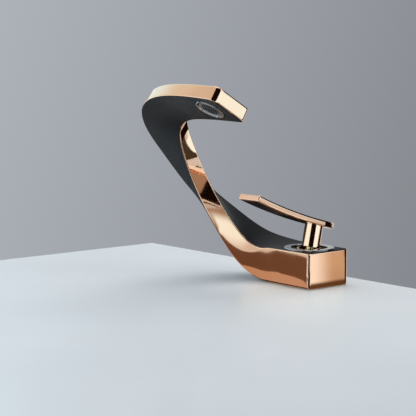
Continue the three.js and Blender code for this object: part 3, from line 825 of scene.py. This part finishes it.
def clamp():
    install(horseshoe("clamp_pad", "clamp_rubber", RUBBER, 0.5), "body", "seal_rubber", "clamp_rubber")
    install(horseshoe("clamp_horseshoe", "clamp_plate", STEEL, 0.3), "body", "steel", "clamp_plate")


def base_gasket():
    inner, outer, depth = GASKET["inner"], GASKET["outer"], GASKET["depth"]
    piece = soften(turned("foot_gasket", ring_profile(inner, outer, 0, depth), RUBBER), 0.7, 5)
    install(piece, "body", "seal_rubber", "base_gasket")


# ---------------------------------------------------------------- cartridge and other CAD nodes


def dress_cad_nodes():
    """Every CAD node that stays gets its slot's material, and smooth shading on its round faces."""
    slots = {row["node"]: row["material_slot"] for row in frame["record"]["subparts"]}
    for name, node in frame["nodes"].items():
        if node.hide_render:
            continue
        node.data.materials.clear()
        node.data.materials.append(SLOT_MATERIALS[slots[name]])
        node.data.polygons.foreach_set("use_smooth", [True] * len(node.data.polygons))
        node.data.set_sharp_from_angle(angle=math.radians(30))


# ---------------------------------------------------------------- stage


def deck_material():
    s = Shader("pale_deck", IOR=1.45, Specular_IOR_Level=0.25, Coat_Weight=0.06, Coat_Roughness=0.04)
    s.colour(s.noise(6, 2), (0.76, 0.785, 0.81), (0.81, 0.83, 0.85))
    s.roughness(s.noise(14, 3), 0.3, 0.38)
    return s.material


def deck():
    """The pale slab that the faucet is clamped to, with its tap hole."""
    left, right, front, back = (DECK[key] for key in ("left", "right", "front", "back"))
    centre = Matrix.Translation(((left + right) / 2, (front + back) / 2, DECK["top"] - DECK["thick"] / 2))
    slab = box_object("deck", (right - left, back - front, DECK["thick"]), deck_material(), centre)
    hole = cylinder_profile(DECK["hole"], -DECK["thick"] - 2 * OVERCUT, OVERCUT)
    combine(slab, turned("cutter", hole, slab.data.materials[0]))
    soften(slab, 2, 4)


def glow(name, colour, fades=(), strength=1.0):
    """Emission that only the front of its panel gives off: a lamp where the panel lights, a painted
    reflection of light or shade where it doesn't.

    Each fade is (direction, near, far, tint): between two distances along the direction, in
    millimetres, the light goes over from the colour it had to the tint.
    """
    material = bpy.data.materials.new(name)
    material.use_nodes = True
    nodes, links = material.node_tree.nodes, material.node_tree.links
    nodes.remove(nodes["Principled BSDF"])
    emission = nodes.new("ShaderNodeEmission")
    emission.inputs["Color"].default_value = (*colour, 1)
    emission.inputs["Strength"].default_value = strength
    shade = None
    for direction, near, far, tint in fades:
        along = nodes.new("ShaderNodeVectorMath")
        along.operation = "DOT_PRODUCT"
        along.inputs[1].default_value = Vector(direction).normalized()
        links.new(nodes.new("ShaderNodeTexCoord").outputs["Object"], along.inputs[0])
        span = nodes.new("ShaderNodeMapRange")
        span.interpolation_type = "SMOOTHSTEP"
        span.inputs["From Min"].default_value = near * MM
        span.inputs["From Max"].default_value = far * MM
        links.new(along.outputs["Value"], span.inputs["Value"])
        mix = nodes.new("ShaderNodeMix")
        mix.data_type = "RGBA"
        before, after, result = mix.inputs[6], mix.inputs[7], mix.outputs[2]   # its colour sockets
        before.default_value = (*colour, 1)
        if shade:
            links.new(shade, before)
        after.default_value = (*tint, 1)
        links.new(span.outputs["Result"], mix.inputs[0])
        shade = result
    if shade:
        links.new(shade, emission.inputs["Color"])
    one_sided = nodes.new("ShaderNodeMixShader")
    links.new(nodes.new("ShaderNodeNewGeometry").outputs["Backfacing"], one_sided.inputs["Fac"])
    links.new(emission.outputs[0], one_sided.inputs[1])
    links.new(nodes.new("ShaderNodeBsdfTransparent").outputs[0], one_sided.inputs[2])
    links.new(one_sided.outputs[0], nodes["Material Output"].inputs["Surface"])
    return material


def stage_light(name, points, faces, towards, material, lights):
    """A stage piece that the camera doesn't see, with its front towards a point in millimetres.

    Unless it lights, it only shows in reflections.
    """
    piece = mesh_object(name, points, faces, [material])
    first = piece.data.polygons[0]
    if (Vector(towards) * MM - first.center).dot(first.normal) < 0:
        piece.data.flip_normals()
    piece.visible_camera = False
    piece.visible_shadow = False
    piece.visible_diffuse = lights
    piece.visible_transmission = lights


def panel(name, azimuths, heights, colour, fades=(), lights=True, radius=PANEL_RADIUS):
    """A curved panel round the object, between two azimuths (degrees) and two heights.

    Azimuth 0 is +X and 90 is +Y.
    """
    first, last = (math.radians(azimuth) for azimuth in azimuths)
    points = []
    for i in range(PANEL_STEPS + 1):
        a = first + (last - first) * i / PANEL_STEPS
        points += [(radius * math.cos(a), radius * math.sin(a), z) for z in heights]
    faces = [[2 * i, 2 * i + 2, 2 * i + 3, 2 * i + 1] for i in range(PANEL_STEPS)]
    stage_light(name, points, faces, (0, 0, heights[0]), glow(name, colour, fades), lights)


def painted_dark_reflection(name, azimuths, heights, colour=(0.008, 0.004, 0.003)):
    """A dark panel in front of the softboxes that lights nothing, casts no shadow and only shows in
    reflections: a painted dark reflection.
    """
    panel(name, azimuths, heights, colour, lights=False, radius=DARK_REFLECTION_RADIUS)


def painted_reflection_card(name, corners, layer, colour, fades=()):
    """A level sheet just over the deck that glows, lights nothing and only shows in reflections from above:
    a painted reflection of light or shade.
    """
    points = [(x, y, CARD_LAYERS[layer]) for x, y in corners]
    stage_light(name, points, [list(range(len(points)))], (0, 0, 1000), glow(name, colour, fades), False)


def overhead_softbox():
    left, right, front, back, height = CEILING.values()
    corners = [(left, front, height), (right, front, height), (right, back, height), (left, back, height)]
    light = glow("overhead_softbox", (1, 1, 1), strength=2.6)
    stage_light("overhead_softbox", corners, [[0, 1, 2, 3]], (0, 0, 0), light, True)


def studio():
    """Softboxes and fills that light the scene, and dark panels that light nothing and only paint the dark
    bands between their reflections.
    """
    panel("left_softbox", (-178, -78), (0, 370), (1.15, 1.55, 1.7))
    panel("left_fill", (-200, -88), (370, 1500), (0.87, 0.9, 0.93),
          [((0, 0, 1), 680, 900, (0.76, 0.76, 0.7)), ((-0.99, 0.14, 0), 970, 1060, (0.81, 0.9, 0.83)),
           ((-0.99, 0.14, 0), 1060, 1180, (0.88, 1.22, 1.36))])
    panel("right_softbox", (36, 47), (-400, 500), (1.1, 1.55, 1.75),
          [((0, 0, -1), -10, 60, (0.76, 0.86, 0.93))])
    panel("right_stem_softbox", (-16, 36), (-400, 500), (1.15, 1.6, 1.85))
    panel("right_top_softbox", (-3, 47), (500, 1400), (1.3, 1.3, 1.3))
    panel("back_fill", (84, 135), (-400, 320), (0.66, 0.66, 0.64))
    overhead_softbox()
    # painted dark reflections: the dark bands beside the camera, overhead and behind, between the softboxes'
    # reflections
    painted_dark_reflection("camera_side_dark_reflection", (-75, -16), (-400, 500))
    painted_dark_reflection("upper_dark_reflection", (-88, -3), (500, 1500))
    painted_dark_reflection("back_dark_reflection", (47, 84), (-400, 1450))
    painted_dark_reflection("back_upper_dark_reflection", (84, 135), (320, 1450))
    painted_dark_reflection("low_back_dark_reflection", (135, 182), (-400, 100), (0.012, 0.009, 0.007))
    # painted dark olive-brown reflection on the inner side of the spout's loop
    painted_dark_reflection("loop_dark_reflection", (-16, 47), (-400, -110), (0.06, 0.05, 0.03))


def base_painted_reflections():
    """Painted light and shade in the polished sides of the base: glowing sheets, seen only in reflections,
    for the shaded deck, the contact shadow and the highlights.
    """
    brown, copper, black = (0.167, 0.093, 0.056), (0.585, 0.405, 0.30), (0.007, 0.004, 0.003)
    near_edge = bend((4, -41), (-20, -66), (-90, -68))
    far_edge = bend((-130, -158), (-62, -140), (-29, -82))
    # painted reflection of the basin's shaded far wall: the brown over most of the base's front face
    painted_reflection_card("front_brown", near_edge + [(-200, -92), (-200, -160)] + far_edge, 2, brown)
    # painted highlight: the cream line along the front face's top edge and beside its front corner
    painted_reflection_card("front_cream", [(40, -84), (30, -77), (-22, -77), (-90, -140), (-200, -150), (-200, -230),
                         (-70, -230), (-50, -140), (50, -140)], 1, (0.78, 0.8, 0.8),
         [((1, 0, 0), -44, -16, (1.08, 1.42, 1.55)), ((1, 0, 0), 0, 32, (0.42, 0.33, 0.26))])
    # painted reflection of the shaded deck near the base: the copper band low on the front face
    painted_reflection_card("front_copper", [(24, -25), (24, -42), (-40, -72), (-110, -76), (-110, -60), (-60, -25)],
         0, copper)
    # painted contact shadow: the dark line where the front face meets the deck
    painted_reflection_card("front_contact", [(24, -24.8), (24, -29), (-26, -30), (-44, -33), (-60, -25)], 3, black)
    # painted reflection in the right face: cream towards its front edge, darker lower down, with a brown
    # band of painted contact shade along the bottom
    painted_reflection_card("right_orange", [(25, -27), (210, -27), (210, 212), (24.6, 20.2)], 0, (0.70, 0.58, 0.43),
         [((-1, -1, 0), -160, -50, (0.6, 0.49, 0.36)), ((1, -1, 0), 10, 32, (1.12, 1.25, 1.3)),
          ((-1, 0, 0), -51, -37, (0.136, 0.075, 0.036))])
    # painted dark line down the rounded front corner
    corner_edge = bend((76, -72), (30, -96), (25.5, -26))
    painted_reflection_card("corner_black", [(118, -8), (118, -62), (100, -62)] + corner_edge, 3, black)
    # painted dark band down the rounded back corner
    painted_reflection_card("back_black", [(24.6, 20.3), (280, 284.6), (24.6, 284.6)], 3, black)


def neck_painted_reflections():
    """Painted light and shade in the polished inner side of the ribbon's neck: glowing sheets seen only in
    its reflections.
    """
    black = (0.007, 0.004, 0.003)
    black_edge = bend((76, -73), (50, -84), (48, -104))
    line_edge = bend((66, -73), (44, -84), (44, -104))
    far_edge = bend((60, -72), (40, -83), (41, -104))
    # painted copper reflections of the shaded deck, low on the neck
    painted_reflection_card("neck_copper", [(-40, -66), (-28, -77), (34, -77), (38, -66)], 0, (0.3, 0.17, 0.1))
    painted_reflection_card("neck_side_copper", [(100, -27), (222, -27), (222, -74), (74, -74)], 0, (0.4, 0.3, 0.23))
    # painted black reflections: the dark patch on the neck
    painted_reflection_card("neck_side_black", [(222, -8), (300, -8), (300, -62), (222, -62)], 3, black)
    painted_reflection_card("neck_black", black_edge + [(80, -230), (230, -230), (230, -73)], 3, black)
    # painted highlight: a bright wavy line, with a painted thin dark line under it
    painted_reflection_card("neck_glow", black_edge + line_edge[::-1], 3, (0.85, 0.85, 0.85))
    painted_reflection_card("neck_line", line_edge + far_edge[::-1], 3, black)


def backdrop():
    """A grey studio sweep that falls off gently to the right and downwards, painting the shade of a wall
    near the deck; it lights the scene too.
    """
    world = bpy.data.worlds.new("studio_grey")
    bpy.context.scene.world = world
    world.use_nodes = True
    nodes, links = world.node_tree.nodes, world.node_tree.links
    place = nodes.new("ShaderNodeTexCoord")
    along = nodes.new("ShaderNodeVectorMath")
    along.operation = "DOT_PRODUCT"
    along.inputs[1].default_value = BACKDROP["direction"]
    level = nodes.new("ShaderNodeMapRange")
    level.inputs["From Min"].default_value = BACKDROP["dark_at"]
    level.inputs["From Max"].default_value = BACKDROP["light_at"]
    ramp = nodes.new("ShaderNodeValToRGB")
    ramp.color_ramp.elements[0].color = (*BACKDROP["dark"], 1)
    ramp.color_ramp.elements[1].color = (*BACKDROP["light"], 1)
    links.new(place.outputs["Generated"], along.inputs[0])
    links.new(along.outputs["Value"], level.inputs["Value"])
    links.new(level.outputs["Result"], ramp.inputs["Fac"])
    links.new(ramp.outputs["Color"], nodes["Background"].inputs["Color"])


# ---------------------------------------------------------------- camera

def camera():
    """The camera that the photograph was matched with."""
    azimuth, pitch = math.radians(CAMERA["azimuth"]), math.radians(CAMERA["pitch"])
    right = Vector((math.cos(azimuth), math.sin(azimuth), 0))
    level = math.cos(pitch)
    back = Vector((math.sin(azimuth) * level, -math.cos(azimuth) * level, math.sin(pitch)))
    up = back.cross(right)
    data = bpy.data.cameras.new("camera")
    data.lens, data.sensor_width = CAMERA["lens"], 36
    data.clip_start, data.clip_end = 0.01, 10
    view = bpy.data.objects.new("camera", data)
    bpy.context.scene.collection.objects.link(view)
    place = Matrix((right, up, back)).transposed().to_4x4()
    place.translation = (AIM + back * CAMERA["distance"] - right * AIM_RIGHT - up * AIM_UP) * MM
    view.matrix_world = place
    bpy.context.scene.camera = view


# ---------------------------------------------------------------- assembly

camera()
backdrop()
deck()
studio()
base_painted_reflections()
neck_painted_reflections()

spout_casting()
trim_ring()
bonnet_nut()
lever_blade()
lever_stem()
aerator_collar()
honeycomb()
threaded_stud()
deck_nut()
clamp()
base_gasket()
dress_cad_nodes()

bpy.context.scene.view_settings.view_transform = "Standard"
